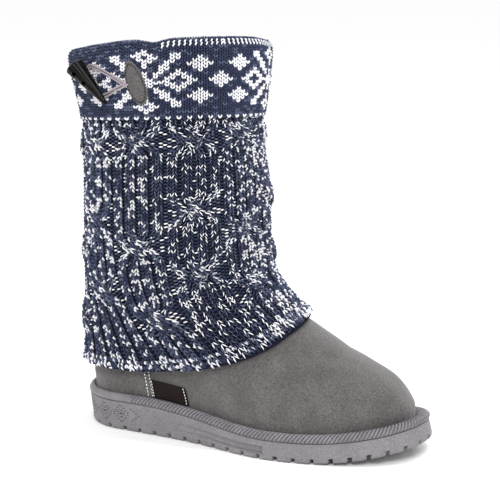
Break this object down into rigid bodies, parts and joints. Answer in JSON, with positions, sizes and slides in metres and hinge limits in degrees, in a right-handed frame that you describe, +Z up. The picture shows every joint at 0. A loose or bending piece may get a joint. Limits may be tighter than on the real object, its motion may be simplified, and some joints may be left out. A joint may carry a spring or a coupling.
{
  "type": "mukluk boot",
  "caption": "Right mukluk boot: suede foot on a moulded sole with a ribbed welt, cable-knit leg, turned-down patterned knit cuff, and a horn toggle on a cord loop.",
  "frame": {"origin": "on the floor, under the middle of the boot's bounding box", "axes": "+X from heel to toe, +Y to the inner side of the foot, +Z up"},
  "size_m": [0.2736, 0.1246, 0.2864],
  "materials": {
    "sole": "matt moulded foam rubber",
    "welt": "satin ribbed rubber",
    "insole": "short fleece",
    "suede": "napped suede",
    "knit": "marled cable knit",
    "cuff": "two-colour knit",
    "stitching": "sewn seam",
    "label": "woven tape",
    "cord": "waxed cord",
    "horn": "polished"
  },
  "bodies": {
    "root": {"outsole": "sole", "welt": "welt", "insole": "insole", "upper": "suede", "knit_leg": "knit", "knit_cuff": "cuff", "seam_outer": "stitching", "seam_inner": "stitching", "side_label": "label", "toggle_patch": "suede", "toggle_loop": "cord", "toggle_horn": "horn"}
  },
  "joints": []
}
